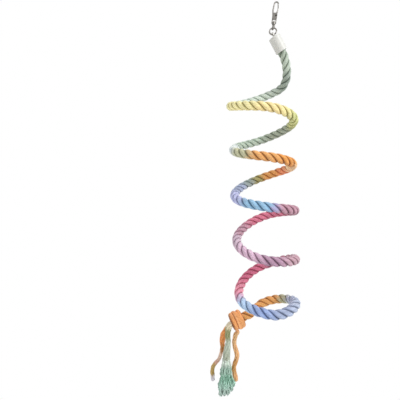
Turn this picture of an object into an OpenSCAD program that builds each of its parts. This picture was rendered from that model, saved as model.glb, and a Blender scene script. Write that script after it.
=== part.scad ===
// Hanging spiral rope perch: a wire-cored rope coil under a swivel trigger clasp.
// Millimetres. +Z is up, X is to the right and +Y to the back. The origin is the point
// under the clasp's crown that rests on the cage bar. Sizes and places are those of the
// perch as it is seen, leaning to the left, and plumb() at the end turns it to hang at rest.

/* [Rope] */
// Diameter of the rope
rope_d = 14; // [12:0.5:15]
// Diameter of the steel wire inside the rope
wire_d = 3; // [2.4:0.1:3.6]

/* [Coil] */
// Radius of the coil's centreline at its top
coil_r_top = 50; // [46:1:56]
// Radius of the coil's centreline at its fifth turn
coil_r_low = 40; // [36:1:46]
// Height that each turn loses
turn_drop = 72; // [66:1:84]
// How much higher the right side of each turn lies than its left, halved
tilt_right = 4; // [0:0.5:6]
// How much higher the back of each turn lies than its front, halved
tilt_back = 9; // [4:0.5:12]
// How far the coil's axis drifts right over five turns
lean_right = 5; // [0:0.5:8]
// How far the coil's axis drifts forward over five turns
lean_front = 17; // [8:0.5:20]
// How far the coil's axis lies left of the cap's mouth
coil_left = 33.8; // [30:0.1:37]
// How far the coil's axis lies in front of the cap's mouth
coil_front = 5; // [0:0.5:10]
// Height from the cap's mouth down to the coil's start
lead_drop = 48.7; // [44:0.1:56]
// Angle from the perch as it is seen to the perch hanging plumb, its weight under the clasp
plumb_angle = 4.2; // [3:0.1:5]

/* [End cap] */
// Outer diameter of the cap
cap_d = 18.5; // [18:0.1:23]
// Length of the cap
cap_len = 25.5; // [22:0.5:34]
// Thickness of the cap's closed top
cap_top_t = 3; // [2:0.1:4]
// Angle of the cap from the vertical, its mouth to the right
cap_lean = 30; // [20:1:32]
// Angle of the cap's mouth to the back
cap_back = 20; // [10:1:24]
// Clearance round the rope in the cap
cap_fit = 0.25; // [0.15:0.05:0.4]
// Width across the corners of the crimp ferrule
ferrule_d = 6.8; // [6:0.1:8]
// Length of the crimp ferrule
ferrule_len = 12; // [9:0.5:16]

/* [Ring and eyes] */
// Outer diameter of the connector ring
ring_d = 13; // [12:0.1:15]
// Wire of the connector ring
ring_wire = 2.1; // [1.8:0.1:2.4]
// Outer diameter of the cap's eye
cap_eye_d = 8; // [7.6:0.1:9]
// Wire of the cap's eye
cap_eye_wire = 1.8; // [1.5:0.1:2]
// Outer diameter of the swivel's eye
swivel_eye_d = 9.2; // [8.6:0.1:10]
// Wire of the swivel's eye
swivel_eye_wire = 2; // [1.7:0.1:2.2]

/* [Clasp] */
// Angle of the clasp from the vertical
clasp_lean = 8; // [0:1:12]
// Thickness of the hook's bar
hook_d = 2.2; // [1.9:0.1:2.4]
// Inner width of the crown, which takes the cage bar
crown_w = 3.8; // [3.6:0.1:4.4]
// Inner width of the throat at the hub
throat_w = 5.6; // [5.4:0.1:6.2]
// Height of the throat, from the crown to the hub
throat_len = 18; // [16.5:0.5:20]
// Width of the hub
hub_w = 7.6; // [7.2:0.1:8.4]
// Thickness of the hub, front to back
hub_t = 4.8; // [4.6:0.1:5.4]
// Height of the hub
hub_len = 9.2; // [8.8:0.1:10]
// Inner height of the yoke's window
window_len = 5.4; // [4.6:0.1:7]
// Thickness of the yoke's side bars
yoke_d = 1.7; // [1.5:0.1:1.9]
// Thickness of the bridge under the window
bridge_t = 2; // [1.6:0.1:2.6]
// Diameter of the swivel's stem
stem_d = 2.4; // [2.1:0.1:2.6]
// Diameter of the gate's rivet
rivet_d = 1.4; // [1.2:0.05:1.5]
// Thickness of the gate, front to back
gate_t = 1.8; // [1.6:0.1:2]
// Wire of the gate's spring
spring_wire = 0.3; // [0.25:0.05:0.35]

/* [Knot and strands] */
// Outer diameter of the knot's wraps
knot_d = 28; // [26:0.5:31]
// Thickness of the strand that wraps the knot
wrap_d = 7; // [6:0.25:7.5]
// Diameter of the left loose strand
left_d = 7.5; // [6.5:0.25:8]
// Diameter of the middle loose strand
middle_d = 9; // [8:0.25:9.5]
// Diameter of the right loose strand
right_d = 7.5; // [6.5:0.25:8]
// Width of the frayed end at its widest
fray_w = 27; // [22:0.5:28]
// Depth of the frayed end, front to back
fray_t = 12; // [10:0.5:14]

/* [Hidden] */
$fn = 48;

// Gap between loose links, and between the faces of pieces that move apart
link_gap = 0.3;
// The ring rises either side of its foot, so the slanting eye over it stands further off
eye_gap = 0.9;
// Radial clearance of a pin or stem that turns
turn_fit = 0.05;
// Overrun of every cut
over = 1;
// A hexagon whose corners stand this share outside a circle has the circle's mean radius
hex_share = 1.05;

// The coil
ring_steps = 24;
tube_sides = 6;
taper_turns = 5;
start_turns = 0.15;
end_turns = 5.28;
// How far the hand-bent rope lies above an even coil, as shares of the drop, at each quarter turn
lift_shares = [0, 0.02, 0.04, 0.04, -0.03, -0.045, 0.03, 0.04, 0.01, 0.04, 0.02, 0.05,
    0.05, 0.12, 0.06, 0.03, 0.06, 0.02, -0.04, 0.04, 0.20, 0.22, 0.10];
// How far it lies outside an even coil, as shares of the radius, at each half turn
reach_shares = [0, 0, 0, -0.03, -0.05, 0, 0, 0, 0, 0, 0, 0];
// Lengths of the two pulls that shape the bend from the cap into the coil
cap_pull = 20;
coil_pull = 24;
// Lengths of the two pulls that shape the bend from the coil to the knot
tail_pull = 10;
knot_pull = 8;
lead_steps = 8;
tail_steps = 4;

// The knot
knot_turn = 20;
knot_dip = 22;
knot_wraps = 3;
// How far apart the wraps lie, as a share of their thickness
wrap_pitch_share = 0.86;
// Radius of the knot's core, which its ends show, as a share of the wraps' centreline radius
knot_core_share = 0.88;
// Tilt of the wrap that crosses the others, and how far it stands out, as a share of its thickness
cross_tilt = 18;
cross_out_share = 0.08;
// Place of the knot's middle from the coil's lower end
knot_reach = [-39, -21, -22];

// Routes of the loose strands, each from its own start
left_route = [[-7, -1.5, -5], [-11, -2, -11], [-14, -2, -18], [-15, -2, -26], [-14.5, -2, -33],
    [-16, -2, -40], [-18, -2, -47], [-21, -2, -54], [-26, -2, -60], [-30, -2, -66], [-31, -2, -73],
    [-30.5, -2, -80], [-30, -2, -87]];
middle_route = [[-6, -2, -7.5], [-6.5, -2.5, -15.5], [-6, -2.5, -24], [-6.5, -2.5, -32],
    [-8, -2.5, -42], [-9, -2.5, -53]];
right_route = [[-1.5, 1, -6], [-3.5, 1.5, -12], [-4.5, 2.5, -20], [-4, 3, -26], [-2, 3, -32],
    [-0.5, 3, -39], [-1.5, 3, -46], [-4, 3, -52], [-5.5, 3, -58], [-5, 3, -65], [-3.5, 3, -72],
    [-2, 3, -78.5]];
strand_sides = 8;
// Where the strands leave the knot, as shares of its radius, out to the back and up
left_start_shares = [0.36, -0.42];
middle_start_shares = [-0.42, 0.02];
// The right strand leaves under the knot: its distance along the knot from its middle
right_along_share = 0.30;
// Tops of the strands, as shares of their radius: the distance from the start, and the ring's radius
flat_top_shares = [[0, 1], [1, 1]];
round_top_shares = [[0.06, 0.34], [0.36, 0.77], [1, 1]];

// The middle strand's untwisted end, a flattened tuft with a slanting foot
fray_len = 53;
fray_drop_shares = [0, 0.12, 0.32, 0.52, 0.70, 0.86, 1];
// Each ring's width and depth, its shift to the left as a share of the width, and its slope
fray_width_shares = [0.44, 0.56, 0.66, 0.83, 0.95, 1, 0.55];
fray_depth_shares = [0.75, 0.8, 0.9, 1, 1, 0.9, 0.6];
fray_shift_shares = [0, 0, 0.03, 0.03, 0.02, 0.02, 0.20];
fray_slant_shares = [0, 0.1, 0.2, 0.3, 0.45, 0.6, 0.2];
fray_sides = 12;

// The gate's tip travels inward until it nears the hook's spine
gate_pivot_x = 2;
gate_pivot_drop = 4.6;
gate_boss_d = 3.8;
gate_arm_w = 1.7;
heel_d = 1.8;
heel_x = 2.2;
spring_d = 1.6;
spring_turns = 3;
pocket_fit = 0.2;
pocket_floor = 0.9;
thumb_d = 2.6;
rivet_head_d = 2.6;
rivet_head_t = 0.5;
nose_angle = 15;
nose_d = 2.4;
// The spine bends at this share of the throat's height
spine_knee_share = 0.3;
// The gate bends at this share of the throat's height
elbow_share = 0.45;
// Round knuckles stand out a little from the bars, which stop just short of their middles
knuckle_share = 1.06;
knuckle_gap_share = 0.05;
hub_round = 1.2;
// The swivel
head_d = 3.6;
head_t = 1.3;
collar_d = 5.2;
collar_t = 1.4;
eye_turn = 24;
shank_d = 2.2;
shank_grip = 6;
cap_edge = 1;
rim_in = 2.4;
rim_w = 0.5;
rim_deep = 0.25;

// Directions and lengths that follow from the sizes
function unit(v) = v / norm(v);
function leaned(p) = let (c = cos(clasp_lean), s = sin(clasp_lean)) [p.x*c + p.z*s, p.y, p.z*c - p.x*s];
hub_top = -throat_len;
hub_foot = hub_top - hub_len;
gate_pivot_z = hub_top - gate_pivot_drop;
bridge_top = hub_foot - window_len;
bridge_foot = bridge_top - bridge_t;
collar_top = bridge_foot - link_gap;
swivel_eye_r = (swivel_eye_d - swivel_eye_wire)/2;
swivel_eye_z = collar_top - collar_t - swivel_eye_d/2 + swivel_eye_wire/4;
ring_r = (ring_d - ring_wire)/2;
cap_eye_r = (cap_eye_d - cap_eye_wire)/2;
cap_dir = [sin(cap_lean)*cos(cap_back), sin(cap_back), -cos(cap_lean)*cos(cap_back)];
cap_side = [-cos(cap_lean), 0, -sin(cap_lean)];

// The chain of loose links, each hanging in the one above
swivel_wire_at = leaned([0, 0, swivel_eye_z - swivel_eye_r]);
ring_at = swivel_wire_at + [0, 0, (swivel_eye_wire + ring_wire)/2 + link_gap - ring_r];
ring_foot_at = ring_at - [0, 0, ring_r];
cap_eye_up = [-sin(cap_lean), 0, cos(cap_lean)];
cap_eye_at = ring_foot_at - cap_eye_up*(cap_eye_r - (ring_wire + cap_eye_wire)/2 - eye_gap);
cap_at = cap_eye_at + cap_dir*(cap_eye_d/2 - cap_eye_wire/4);
mouth_at = cap_at + cap_dir*cap_len;
function in_cap(z) = cap_at + cap_dir*z;

// The coil's centreline: a turn count t runs from the right, round the back, down to the left
coil_at = mouth_at + [-coil_left, -coil_front, -lead_drop];
function eased(w) = w*w*(3 - 2*w);
function from_table(shares, s) =
    let (i = min(floor(s), len(shares) - 2), w = eased(s - i))
    shares[i]*(1 - w) + shares[i + 1]*w;
function even_r(t) = coil_r_top + (coil_r_low - coil_r_top)*t/taper_turns;
function coil_r(t) = even_r(t)*(1 + from_table(reach_shares, 2*t));
function coil_point(t) = coil_at + [
    coil_r(t)*cos(360*t) + lean_right*t/taper_turns,
    coil_r(t)*sin(360*t) - lean_front*t/taper_turns,
    tilt_right*cos(360*t) + tilt_back*sin(360*t) + turn_drop*(from_table(lift_shares, 4*t) - t)];
function coil_dir(t) = unit(coil_point(t + 1/ring_steps/4) - coil_point(t - 1/ring_steps/4));
function curve(a, b, c, d, s) = a*(1-s)^3 + b*3*s*(1-s)^2 + c*3*s^2*(1-s) + d*s^3;

// The knot's axis points the way the rope runs into it
knot_dir = [-cos(knot_turn)*cos(knot_dip), -sin(knot_turn)*cos(knot_dip), -sin(knot_dip)];
knot_back = [-sin(knot_turn), cos(knot_turn), 0];
knot_up = cross(knot_dir, knot_back)*-1;
knot_at = coil_point(end_turns) + knot_reach;
knot_len = wrap_d*(1 + wrap_pitch_share*(knot_wraps - 1));
rope_end = knot_at - knot_dir*(knot_len/2 + link_gap);
tail_at = rope_end - knot_dir*rope_d;

// Ring places along the rope. The first is in the cap at the ferrule's lower end.
coil_turns = end_turns - start_turns;
coil_count = round(coil_turns*ring_steps);
coil_first = coil_point(start_turns);
coil_last = coil_point(end_turns);
lead_points = [for (i = [1:lead_steps - 1]) curve(mouth_at, mouth_at + cap_dir*cap_pull,
    coil_first - coil_dir(start_turns)*coil_pull, coil_first, i/lead_steps)];
turn_points = [for (i = [0:coil_count]) coil_point(start_turns + coil_turns*i/coil_count)];
tail_points = [for (i = [1:tail_steps - 1]) curve(coil_last, coil_last + coil_dir(end_turns)*tail_pull,
    tail_at - knot_dir*knot_pull, tail_at, i/tail_steps)];
ferrule_foot = cap_top_t + ferrule_len;
rope_points = concat([in_cap(ferrule_foot), mouth_at], lead_points, turn_points, tail_points,
    [tail_at, rope_end]);

// Frames carried along a route without twist
function route_dir(pts, i) = unit(pts[min(i + 1, len(pts) - 1)] - pts[max(i - 1, 0)]);
function carried(pts, start, i = 0) = i == len(pts) ? [] :
    let (d = route_dir(pts, i), side = unit(start - d*(start*d)))
    concat([side], carried(pts, side, i + 1));
function ring(at, d, side, r, sides) = let (other = cross(d, side))
    [for (k = [0:sides - 1]) at + side*r*cos(360*k/sides) + other*r*sin(360*k/sides)];
function rings(pts, sides_dir, radii, sides) =
    [for (i = [0:len(pts) - 1]) ring(pts[i], route_dir(pts, i), sides_dir[i], radii[i], sides)];

rope_sides = carried(rope_points, cap_side);
rope_radii = [for (p = rope_points) rope_d/2*hex_share];
wire_radii = [for (p = rope_points) wire_d/2];
top_ring_r = rope_d/2*hex_share;
rope_skin = concat([ring(in_cap(cap_top_t), cap_dir, cap_side, top_ring_r, tube_sides)],
    rings(rope_points, rope_sides, rope_radii, tube_sides));
wire_skin = rings(rope_points, rope_sides, wire_radii, tube_sides);
rope_bore = concat([for (z = [cap_top_t, ferrule_foot])
    ring(in_cap(z), cap_dir, cap_side, ferrule_d/2, tube_sides)], wire_skin);

// A closed solid through a list of rings, all with as many points
module loft(skin) {
    n = len(skin[0]);
    last = len(skin) - 1;
    polyhedron(points = [for (r = skin) each r], convexity = 12, faces = concat(
        [for (i = [0:last - 1], k = [0:n - 1]) each let (a = i*n + k, b = i*n + (k + 1)%n)
            [[a, a + n, b], [b, a + n, b + n]]],
        [for (k = [1:n - 2]) [0, k, k + 1]],
        [for (k = [1:n - 2]) [last*n, last*n + k + 1, last*n + k]]));
}

// A pipe between an outer and an inner list of rings, closed by a flat ring at each end
module pipe(outer, inner) {
    n = len(outer[0]);
    m = len(outer)*n;
    out_last = (len(outer) - 1)*n;
    in_last = m + (len(inner) - 1)*n;
    polyhedron(points = [for (r = concat(outer, inner)) each r], convexity = 12, faces = concat(
        [for (i = [0:len(outer) - 2], k = [0:n - 1]) each let (a = i*n + k, b = i*n + (k + 1)%n)
            [[a, a + n, b], [b, a + n, b + n]]],
        [for (i = [0:len(inner) - 2], k = [0:n - 1]) each let (a = m + i*n + k, b = m + i*n + (k + 1)%n)
            [[a, b, a + n], [b, b + n, a + n]]],
        [for (k = [0:n - 1]) each let (j = (k + 1)%n) [[k, j, m + k], [j, m + j, m + k]]],
        [for (k = [0:n - 1]) each let (j = (k + 1)%n)
            [[out_last + k, in_last + k, out_last + j], [out_last + j, in_last + k, in_last + j]]]));
}

// The gate's spring fills the room between its pocket's floor and the gate's heel
spring_foot_z = hub_foot + pocket_floor;
spring_room = gate_pivot_z - heel_d/2 - link_gap - spring_foot_z;
spring_pitch = (spring_room - spring_wire)/spring_turns;

// Least gap between the rope's turns, and between the spring's
coil_gap = min([for (i = [0:len(turn_points) - 1], j = [i + ring_steps/2:len(turn_points) - 1])
    norm(turn_points[i] - turn_points[j])]) - 2*top_ring_r;
echo(least_gap_of_rope_to_itself = coil_gap, least_gap_of_spring_to_itself = spring_pitch - spring_wire);
rope_steps = [for (i = [1:len(rope_points) - 1]) norm(rope_points[i] - rope_points[i - 1])];
rope_length = ferrule_len + rope_steps*[for (step = rope_steps) 1];
echo(rope_length = rope_length);

module in_clasp() rotate([0, clasp_lean, 0]) children();
module in_cap_frame() translate(cap_at) rotate([0, 180 - cap_lean, 0]) rotate([-cap_back, 0, 0]) children();
module in_knot_frame() translate(knot_at) rotate([0, 90 + knot_dip, 180 + knot_turn]) children();
module across(d, h) rotate([90, 0, 0]) cylinder(d = d, h = h, center = true);
module torus(r, d) rotate_extrude() translate([r, 0]) circle(d = d);

// A straight bar between two points of the XZ plane, and the knuckle that joins it to the next
module bar(a, b, d) {
    v = b - a;
    gap = d*knuckle_gap_share;
    translate([a.x, 0, a.y]) rotate([0, atan2(v.x, v.y), 0]) translate([0, 0, gap])
        cylinder(d = d, h = norm(v) - 2*gap);
}
module knuckle(p, d) translate([p.x, 0, p.y]) sphere(d = d);

crown_r = (crown_w + hook_d)/2;
throat_x = (throat_w + hook_d)/2;
function on_crown(angle) = [crown_r*cos(angle), crown_r*sin(angle) - crown_w/2];
// The spine runs from its foot in the hub to its knee, and on to where it meets the crown's arc smoothly
spine_foot = [(hook_d - hub_w)/2, hub_top - hub_len/2];
spine_knee = [-throat_x, hub_top + throat_len*spine_knee_share];
spine_rise = spine_knee + [0, crown_w/2];
spine_angle = 360 + atan2(spine_rise.y, spine_rise.x) - acos(crown_r/norm(spine_rise));
module clasp_body() color("silver") in_clasp() {
    difference() {
        union() {
            translate([0, 0, -crown_w/2]) rotate([90, 0, 0]) rotate([0, 0, nose_angle])
                rotate_extrude(angle = spine_angle - nose_angle) translate([crown_r, 0]) circle(d = hook_d);
            knuckle(on_crown(nose_angle), nose_d);
            knuckle(on_crown(spine_angle), hook_d*knuckle_share);
            bar(spine_knee, on_crown(spine_angle), hook_d);
            knuckle(spine_knee, hook_d*knuckle_share);
            bar(spine_foot, spine_knee, hook_d);
            hub();
        }
        gate_slot();
        translate([gate_pivot_x, 0, gate_pivot_z]) across(rivet_d, hub_t + 2*over);
        translate([gate_pivot_x - heel_x, 0, spring_foot_z])
            cylinder(d = spring_d + 2*pocket_fit, h = hub_len);
    }
    yoke();
}

// The hub is a block with round corners, broad enough for the gate's slot
module hub() {
    translate([-hub_w/2, -hub_t/2, hub_foot + hub_round]) cube([hub_w, hub_t, hub_len - 2*hub_round]);
    translate([-hub_w/2 + hub_round, -hub_t/2, hub_foot]) cube([hub_w - 2*hub_round, hub_t, hub_len]);
    for (x = [-1, 1], z = [hub_foot + hub_round, hub_top - hub_round])
        translate([x*(hub_w/2 - hub_round), 0, z]) across(2*hub_round, hub_t);
}

// Room for the gate's boss and heel, open to the top and the right
slot_t = gate_t + link_gap;
module gate_slot() {
    floor_z = gate_pivot_z - gate_boss_d/2 - link_gap;
    left_x = gate_pivot_x - heel_x - heel_d/2 - link_gap;
    translate([left_x, -slot_t/2, floor_z])
        cube([hub_w/2 - left_x + over, slot_t, hub_top - floor_z + over]);
}

// Two side bars and a bridge with the stem's bore
module yoke() difference() {
    union() {
        for (x = [-1, 1]) translate([x*(hub_w - yoke_d)/2, 0, bridge_foot + bridge_t/2]) {
            cylinder(d = yoke_d, h = window_len + bridge_t/2 + hub_round);
            sphere(d = bridge_t);
        }
        translate([0, 0, bridge_foot]) cylinder(d = hub_w - yoke_d, h = bridge_t);
    }
    translate([0, 0, bridge_foot - over]) cylinder(d = stem_d + 2*turn_fit, h = bridge_t + 2*over);
}

// The gate: boss, heel, an arm that bows out along the throat, and a thumb knob
module clasp_gate() color("gainsboro") in_clasp() {
    pivot = [gate_pivot_x, gate_pivot_z];
    elbow = [throat_x, hub_top + throat_len*elbow_share];
    tip = [crown_r, on_crown(nose_angle).y - nose_d/2 - link_gap - gate_arm_w/2];
    difference() {
        union() {
            translate([pivot.x, 0, pivot.y]) across(gate_boss_d, gate_t);
            translate([pivot.x - heel_x, 0, pivot.y]) across(heel_d, gate_t);
            translate([pivot.x - heel_x, -gate_t/2, pivot.y - heel_d/2]) cube([heel_x, gate_t, heel_d]);
            bar(pivot, elbow, gate_arm_w);
            bar(elbow, tip, gate_arm_w);
            for (p = [elbow, tip]) knuckle(p, gate_arm_w*knuckle_share);
            knuckle(pivot + unit(elbow - pivot)*(gate_pivot_drop + thumb_d), thumb_d);
        }
        translate([pivot.x, 0, pivot.y]) across(rivet_d + 2*turn_fit, gate_t + 2*over);
    }
}

module gate_rivet() color("silver") in_clasp() translate([gate_pivot_x, 0, gate_pivot_z]) {
    across(rivet_d, hub_t);
    for (side = [-1, 1]) translate([0, side*(hub_t + rivet_head_t)/2, 0]) across(rivet_head_d, rivet_head_t);
}

// Upright in its pocket under the gate's heel, its ends flat
module gate_spring() color("slategray") in_clasp() {
    steps = 8;
    r = (spring_d - spring_wire)/2;
    pts = [for (i = [0:spring_turns*steps]) [gate_pivot_x - heel_x + r*cos(360*i/steps), r*sin(360*i/steps),
        spring_foot_z + spring_wire/2 + spring_pitch*i/steps]];
    sides_dir = carried(pts, [1, 0, 0]);
    loft(rings(pts, sides_dir, [for (p = pts) spring_wire/2], tube_sides));
}

// Headed stem, collar and eye
module swivel_eye() color("silver") in_clasp() {
    translate([0, 0, bridge_top + turn_fit]) cylinder(d = head_d, h = head_t);
    translate([0, 0, collar_top - collar_t])
        cylinder(d = stem_d, h = bridge_top - collar_top + collar_t + head_t/2);
    translate([0, 0, collar_top - collar_t]) cylinder(d = collar_d, h = collar_t);
    translate([0, 0, swivel_eye_z]) rotate([0, 90, eye_turn]) torus(swivel_eye_r, swivel_eye_wire);
}

module connector_ring() color("silver") translate(ring_at) rotate([90, 0, 0]) torus(ring_r, ring_wire);

// Eye that sits in a groove in the cap's top, its shank gripped in the ferrule
module cap_eye_loop(d) translate([0, 0, -norm(cap_at - cap_eye_at)]) rotate([0, 90, 0]) torus(cap_eye_r, d);
module cap_eye() color("silver") in_cap_frame() {
    cap_eye_loop(cap_eye_wire);
    translate([0, 0, -cap_eye_wire/2]) cylinder(d = shank_d, h = cap_top_t + shank_grip + cap_eye_wire/2);
}

module core_ferrule() color("darkgray") in_cap_frame() translate([0, 0, cap_top_t]) difference() {
    cylinder(d = ferrule_d, h = ferrule_len, $fn = 6);
    translate([0, 0, -over]) cylinder(d = shank_d, h = shank_grip + over);
    translate([0, 0, shank_grip]) cylinder(d = wire_d, h = ferrule_len, $fn = 6);
}

// A cup with a rounded top edge and a thin line turned round it
module end_cap() color("whitesmoke") in_cap_frame() difference() {
    union() {
        translate([0, 0, cap_edge]) cylinder(d = cap_d, h = cap_len - cap_edge);
        cylinder(d = cap_d - 2*cap_edge, h = cap_edge + over);
        translate([0, 0, cap_edge]) torus(cap_d/2 - cap_edge, 2*cap_edge);
    }
    translate([0, 0, cap_top_t]) cylinder(r = top_ring_r + cap_fit, h = cap_len);
    translate([0, 0, -over]) cylinder(d = shank_d, h = cap_top_t + 2*over);
    cap_eye_loop(cap_eye_wire + 2*turn_fit);
    translate([0, 0, rim_in]) difference() {
        cylinder(d = cap_d + over, h = rim_w);
        cylinder(d = cap_d - 2*rim_deep, h = rim_w);
    }
}

module core_wire() color("dimgray")
    loft(concat([ring(in_cap(cap_top_t + shank_grip), cap_dir, cap_side, wire_d/2, tube_sides)], wire_skin));

module rope() color("darkseagreen") pipe(rope_skin, rope_bore);

// Wraps of one strand round the rope's end, and one wrap across them
module end_knot() color("darkorange") in_knot_frame() {
    wrap_r = (knot_d - wrap_d)/2;
    cylinder(r = wrap_r*knot_core_share, h = knot_len, center = true);
    for (i = [0:knot_wraps - 1]) translate([0, 0, (i - (knot_wraps - 1)/2)*wrap_d*wrap_pitch_share])
        torus(wrap_r, wrap_d);
    rotate([0, cross_tilt, 0]) torus(wrap_r + wrap_d*cross_out_share, wrap_d);
}

far_face = knot_at + knot_dir*(knot_len/2 + link_gap);
function face_point(shares) = far_face + (knot_back*shares[0] + knot_up*shares[1])*knot_d/2;
left_start = face_point(left_start_shares);
middle_start = face_point(middle_start_shares);
right_start = knot_at + knot_dir*knot_len*right_along_share - knot_up*(knot_d/2 + link_gap);

// A strand runs straight out of its start for half its thickness, then along its route
module strand(start, d, first, top_shares, route) {
    tops = [for (t = top_shares) start + first*t[0]*d/2];
    pts = concat(tops, [for (p = route) start + p]);
    radii = concat([for (t = top_shares) t[1]*d/2], [for (p = route) d/2]);
    loft(rings(pts, carried(pts, knot_back), radii, strand_sides));
}
module strand_left() color("sandybrown") strand(left_start, left_d, knot_dir, flat_top_shares, left_route);
module strand_middle() color("mediumaquamarine")
    strand(middle_start, middle_d, knot_dir, flat_top_shares, middle_route);
module strand_right() color("orange") strand(right_start, right_d, -knot_up, round_top_shares, right_route);

// The tuft starts level with the lowest edge of the strand's slanting foot
middle_end = middle_route[len(middle_route) - 1];
middle_end_dir = unit(middle_end - middle_route[len(middle_route) - 2]);
fray_from = middle_start + middle_end - [0, 0, middle_d/2*norm([middle_end_dir.x, middle_end_dir.y])];
module frayed_end() color("mediumaquamarine") loft([for (i = [0:len(fray_drop_shares) - 1])
    [for (k = [0:fray_sides - 1]) let (across_x = -fray_w/2*fray_width_shares[i]*cos(360*k/fray_sides),
        across_y = fray_t/2*fray_depth_shares[i]*sin(360*k/fray_sides), drop = fray_len*fray_drop_shares[i])
        fray_from + [across_x - fray_w*fray_shift_shares[i], across_y,
            across_x*fray_slant_shares[i] - drop]]]);

module plumb() rotate([0, -plumb_angle, 0]) children();

plumb() clasp_body();
plumb() clasp_gate();
plumb() gate_rivet();
plumb() gate_spring();
plumb() swivel_eye();
plumb() connector_ring();
plumb() cap_eye();
plumb() core_ferrule();
plumb() end_cap();
plumb() core_wire();
plumb() rope();
plumb() end_knot();
plumb() strand_left();
plumb() strand_middle();
plumb() strand_right();
plumb() frayed_end();
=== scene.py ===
"""Hanging spiral rope perch: the finished looks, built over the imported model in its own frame."""

import math
import random

import bmesh
import bpy
from mathutils import Matrix, Vector


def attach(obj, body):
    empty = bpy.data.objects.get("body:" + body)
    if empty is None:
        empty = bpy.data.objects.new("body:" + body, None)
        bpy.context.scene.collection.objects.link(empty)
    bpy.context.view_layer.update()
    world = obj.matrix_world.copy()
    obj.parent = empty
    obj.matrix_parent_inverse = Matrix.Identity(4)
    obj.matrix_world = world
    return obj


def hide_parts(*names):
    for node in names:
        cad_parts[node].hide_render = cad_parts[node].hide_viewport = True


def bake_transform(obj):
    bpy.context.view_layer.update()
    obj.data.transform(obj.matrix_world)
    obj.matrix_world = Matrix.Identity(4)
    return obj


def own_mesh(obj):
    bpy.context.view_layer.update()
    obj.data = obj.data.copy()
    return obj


bl_info = {
    "name": "Spiral Rope Perch",
    "version": (1, 0, 0),
    "blender": (4, 5, 0),
    "location": "View3D > Sidebar > Perch",
    "description": "Dresses a hanging spiral rope perch in dyed cotton, nickel and white plastic",
    "category": "Object",
}

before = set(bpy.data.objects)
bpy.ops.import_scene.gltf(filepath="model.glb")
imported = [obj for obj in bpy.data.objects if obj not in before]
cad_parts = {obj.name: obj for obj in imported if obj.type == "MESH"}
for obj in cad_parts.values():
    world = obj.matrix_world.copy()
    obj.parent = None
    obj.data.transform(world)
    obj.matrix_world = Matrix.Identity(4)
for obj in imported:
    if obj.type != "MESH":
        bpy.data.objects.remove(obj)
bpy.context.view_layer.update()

MM = 0.001

# Places and directions repeat the part's source. They are those of the perch as it is seen,
# leaning to the left, and PLUMB turns them to the frame, in which it hangs plumb.
PLUMB = Matrix.Rotation(math.radians(-4.2), 4, "Y")

# The camera, about the perch as it is seen: its place, its turn to the right and tilt down in
# radians, and its focal length as a share of the picture's width
CAMERA_AT = Vector((-28.54, -453.5, -342.28)) * MM
CAMERA_YAW = -0.210
CAMERA_PITCH = -0.059
FOCAL_SHARE = 285.4 / 400
SENSOR_WIDTH = 36

# The gate's spring, by the middle of its foot in the leaning clasp
CLASP_LEAN = math.radians(8)
SPRING_FOOT = Vector((-0.2, 0, -26.3)) * MM
SPRING_ROOM = 2.5 * MM
SPRING_D = 1.6 * MM
SPRING_WIRE = 0.3 * MM
SPRING_TURNS = 3

# The end cap's mouth, and the way the rope runs through it
CAP_LEAN = math.radians(30)
CAP_BACK = math.radians(20)
CAP_LENGTH = 25.5 * MM
CAP_DIR = Vector((math.sin(CAP_LEAN) * math.cos(CAP_BACK), math.sin(CAP_BACK),
                  -math.cos(CAP_LEAN) * math.cos(CAP_BACK)))
MOUTH = Vector((7.650, 9.936, -75.979)) * MM
# Depths in the cap at which the strands start, under the ferrule, and the wire, inside it
ROPE_TOP = 15 * MM
WIRE_TOP = 9 * MM
WIRE_R = 1.5 * MM

# The coil's centreline, by hand-bent turns that run from the right round the back and down
COIL_TOP_R = 50 * MM
COIL_LOW_R = 40 * MM
TURN_DROP = 72 * MM
TILT_RIGHT = 4 * MM
TILT_BACK = 9 * MM
LEAN_RIGHT = 5 * MM
LEAN_FRONT = 17 * MM
TAPER_TURNS = 5
START_TURNS = 0.15
END_TURNS = 5.28
COIL_AT = MOUTH + Vector((-33.8, -5, -48.7)) * MM
# Shares of the drop at each quarter turn, and of the radius at each half turn
LIFT_SHARES = (0, 0.02, 0.04, 0.04, -0.03, -0.045, 0.03, 0.04, 0.01, 0.04, 0.02, 0.05,
               0.05, 0.12, 0.06, 0.03, 0.06, 0.02, -0.04, 0.04, 0.20, 0.22, 0.10)
REACH_SHARES = (0, 0, 0, -0.03, -0.05, 0, 0, 0, 0, 0, 0, 0)
CAP_PULL = 20 * MM
COIL_PULL = 24 * MM
TAIL_PULL = 10 * MM
KNOT_PULL = 8 * MM
# Points in the bend above the coil, in each of its turns and in the bend below it
LEAD_STEPS = 20
TURN_STEPS = 80
TAIL_STEPS = 10

# The knot's axis points the way the rope runs into it
KNOT_TURN = math.radians(20)
KNOT_DIP = math.radians(22)
KNOT_DIR = Vector((-math.cos(KNOT_TURN) * math.cos(KNOT_DIP), -math.sin(KNOT_TURN) * math.cos(KNOT_DIP),
                   -math.sin(KNOT_DIP)))
KNOT_BACK = Vector((-math.sin(KNOT_TURN), math.cos(KNOT_TURN), 0))
KNOT_UP = KNOT_BACK.cross(KNOT_DIR)
KNOT_REACH = Vector((-39, -21, -22)) * MM
KNOT_D = 28 * MM
KNOT_WRAPS = 3
CROSS_TILT = math.radians(18)
WRAP_D = 7 * MM
WRAP_PITCH = WRAP_D * 0.86
KNOT_LENGTH = WRAP_D + (KNOT_WRAPS - 1) * WRAP_PITCH
LINK_GAP = 0.3 * MM
ROPE_D = 14 * MM

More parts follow.
